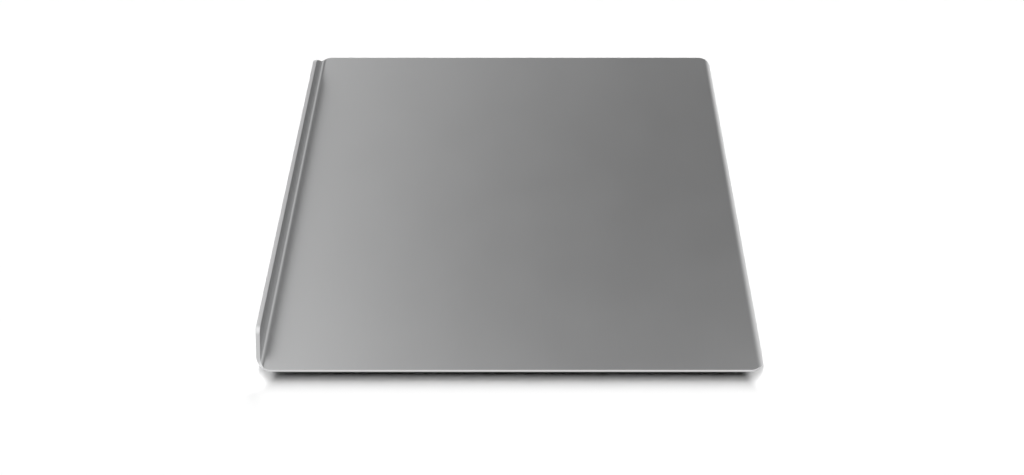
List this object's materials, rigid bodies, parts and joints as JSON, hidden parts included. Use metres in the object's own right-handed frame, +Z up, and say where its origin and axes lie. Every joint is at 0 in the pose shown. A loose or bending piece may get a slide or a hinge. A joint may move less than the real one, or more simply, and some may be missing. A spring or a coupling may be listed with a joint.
{
  "type": "cookie sheet",
  "caption": "Flat rimless baking sheet folded from one piece of metal, with an upright lip to grip along one side and a short rounded edge turned down along the other.",
  "frame": {"origin": "centre of the overall box in plan, at the level of the turned-down edge's tip, the lowest point", "axes": "+X across the sheet from the upright lip to the turned-down edge, +Y along both edges towards the back, +Z up out of the baking surface"},
  "size_m": [0.354, 0.325, 0.023],
  "materials": {
    "sheet": "satin"
  },
  "bodies": {
    "root": {"sheet": "sheet"}
  },
  "joints": []
}
